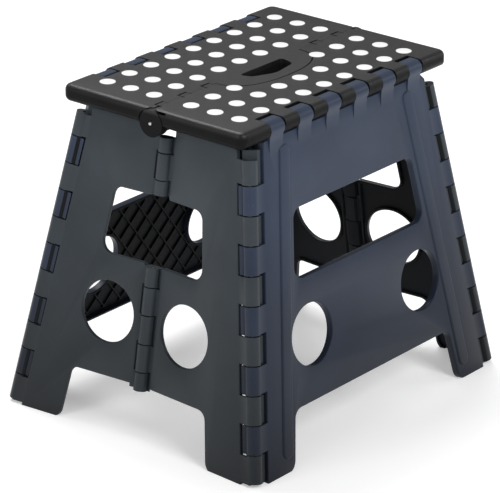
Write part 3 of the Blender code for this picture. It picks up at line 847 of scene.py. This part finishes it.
def plastic(name, colour, roughness, grain=0.00006, cloud=0.18, shine=0.5, painted_shade_at_foot=0.0):
    """Moulded plastic: flow clouds, fine grain, pale scuffs, uneven gloss.

    The last argument is the share of the colour that is left at the floor: painted shade that darkens a panel
    towards its foot.
    """
    look = Shading(name)
    clouds = look.noise(9.0, 4.0)
    specks = look.span(look.noise(260.0, 2.0), 0.72, 0.80, 0.0, 0.35)
    base = look.mix(look.span(clouds, 0.3, 0.7, 0.0, 1.0), tone(colour, 1 - cloud), tone(colour, 1 + cloud))
    scuffs_and_shade = look.mix(specks, base, tone(colour, 2.6))
    # Painted shade: the colour is darkened towards the foot of the piece.
    if painted_shade_at_foot:
        height = look.add("ShaderNodeSeparateXYZ", Vector=look.place).outputs["Y"]
        scuffs_and_shade = look.mix(look.span(height, 0.0, 0.33, 0.0, 1.0), look.dim(scuffs_and_shade, painted_shade_at_foot), scuffs_and_shade)
    look.plug(look.shader.inputs["Base Color"], scuffs_and_shade)
    gloss = look.sum(look.span(clouds, 0.2, 0.8, roughness - 0.05, roughness + 0.06), specks)
    look.plug(look.shader.inputs["Roughness"], gloss)
    look.shader.inputs["Specular IOR Level"].default_value = shine
    height = look.sum(look.noise(900.0, 2.0), look.sum(look.noise(30.0), 1.2, "MULTIPLY"))
    look.bump(height, grain)
    return look


def tread_plastic(name):
    """Black plastic with a glossier top face than its skirts."""
    look = plastic(name, TREAD_COLOUR, 0.32, grain=0.0004)
    height = look.add("ShaderNodeSeparateXYZ", Vector=look.place).outputs["Z"]
    shine = look.span(height, (TREAD_TOP - 7) * MM, (TREAD_TOP - 1) * MM, 0.04, 0.43)
    look.plug(look.shader.inputs["Specular IOR Level"], shine)
    return look.material


def steel(name):
    """Drawn steel with fine streaks."""
    look = Shading(name)
    streaks = look.noise(400.0, 2.0)
    look.plug(look.shader.inputs["Base Color"], look.mix(streaks, tone(STEEL, 0.7), tone(STEEL, 1.1)))
    look.plug(look.shader.inputs["Roughness"], look.span(streaks, 0.2, 0.8, 0.25, 0.42))
    look.shader.inputs["Metallic"].default_value = 1.0
    look.bump(streaks, 0.00003)
    return look.material


STILL = Matrix.Identity(4)
# Panels and ends get painted shade that darkens them towards the floor.
PANEL_LOOK = plastic("panel_plastic", PANEL_COLOUR, 0.33, shine=0.17, painted_shade_at_foot=0.22).material
END_LOOK = plastic("end_plastic", END_COLOUR, 0.36, shine=0.2, painted_shade_at_foot=0.3).material
INNER_SHADE_LOOK = plastic("inner_painted_shade", INNER_SHADE_COLOUR, 0.5, shine=0.12).material
TREAD_LOOK = tread_plastic("tread_plastic")
DOT_LOOK = plastic("white_dot_rubber", DOT_COLOUR, 0.5, cloud=0.03).material
STEEL_LOOK = steel("drawn_steel")

long_panel_node("panel_front", STILL, (BORE_R, BORE_R))
long_panel_node("panel_rear", HALF_TURN, (OPEN_BORE_R, BORE_R))
ribs = lattice()
rear_ribs = mesh_object("ribs", ribs.data.copy())
# The ribs inside the panels are coloured with the painted inner shade.
node("panel_front_ribs", ribs, LONG_FRAME, "panel_front", [], INNER_SHADE_LOOK, "slate_plastic")
node("panel_rear_ribs", rear_ribs, HALF_TURN @ LONG_FRAME, "panel_rear", [], INNER_SHADE_LOOK, "slate_plastic")
end_half_node("end_left_front", -1, STILL)
end_half_node("end_left_rear", 1, STILL)
end_half_node("end_right_front", 1, HALF_TURN)
end_half_node("end_right_rear", -1, HALF_TURN)
for half, way in (("seat_front", -1), ("seat_rear", 1)):
    tread_node(half, way)
    dots(half, way)

for y_name, y_side in (("front", -1), ("rear", 1)):
    ends = [(x, y_side * TOP_HINGE_Y, TOP_HINGE_Z) for x in (-TOP_PIN_X, TOP_PIN_X)]
    pin(f"top_hinge_pin_{y_name}", *ends, f"panel_{y_name}")
    for x_name, x_side in (("left", -1), ("right", 1)):
        ends = [corner_line(x_side, y_side, z) for z in CORNER_PIN]
        holder = "end_right_rear" if (x_name, y_name) == ("right", "rear") else f"panel_{y_name}"
        pin(f"corner_pin_{x_name}_{y_name}", *ends, holder)
for x_name, x_side in (("left", -1), ("right", 1)):
    ends = [(x_side * x, 0, CENTRE_HINGE_Z) for x in CENTRE_PIN]
    pin(f"centre_hinge_pin_{x_name}", *ends, "seat_rear")
    foot = Vector((x_side * (CORNER_X[0] - MID_INWARD), 0, 0))
    apex = Vector((-APEX.x * x_side, 0, APEX_Z))
    for part, low, high in END_PINS:
        ends = [foot + (apex - foot) * z / APEX_Z for z in (low, high)]
        pin(f"end_pin_{x_name}_{part}", *ends, f"end_{x_name}_front")

# Floor, light and camera.
floor = box((-6000, -6000, -6), (6000, 6000, -0.2))
floor.name = "studio_floor"
floor_look = Shading("studio_paper")
shade = floor_look.mix(floor_look.noise(3.0), (0.86, 0.86, 0.86, 1), (0.88, 0.88, 0.88, 1))
floor_look.plug(floor_look.shader.inputs["Base Color"], shade)
floor_look.shader.inputs["Roughness"].default_value = 0.9
floor_look.shader.inputs["Emission Color"].default_value = (1.0, 1.0, 1.0, 1.0)
floor_look.shader.inputs["Emission Strength"].default_value = FLOOR_GLOW
floor.data.materials.append(floor_look.material)

world = bpy.data.worlds.new("studio")
bpy.context.scene.world = world
world.use_nodes = True
sky = world.node_tree.nodes["Background"]
sky.inputs["Color"].default_value = (1.0, 1.0, 1.0, 1.0)
sky.inputs["Strength"].default_value = WORLD_LIGHT


def softbox(name, place, size, power):
    lamp = bpy.data.lights.new(name, "AREA")
    lamp.size = size
    lamp.energy = power
    holder = bpy.data.objects.new(name, lamp)
    bpy.context.scene.collection.objects.link(holder)
    holder.location = place
    holder.rotation_euler = (Vector((0, 0, 0.2)) - Vector(place)).to_track_quat("-Z", "Y").to_euler()


softbox("key_light", (-0.6, -2.6, 2.2), 1.3, 48)
softbox("fill_light", (2.6, -1.5, 1.3), 1.0, 9)
softbox("side_light", (-2.8, 0.6, 1.7), 1.2, 25)
softbox("top_light", (0.6, 1.4, 2.8), 1.6, 54)

camera = bpy.data.cameras.new("camera")
camera.sensor_width = 36.0
camera.lens = 241.54
camera.clip_end = 50.0
viewer = bpy.data.objects.new("camera", camera)
bpy.context.scene.collection.objects.link(viewer)
viewer.location = (-2.81721, -2.23501, 1.63543)
viewer.rotation_euler = [math.radians(turn) for turn in (67.8161, -0.5826, -51.2315)]
bpy.context.scene.camera = viewer
bpy.context.scene.view_settings.view_transform = "Standard"
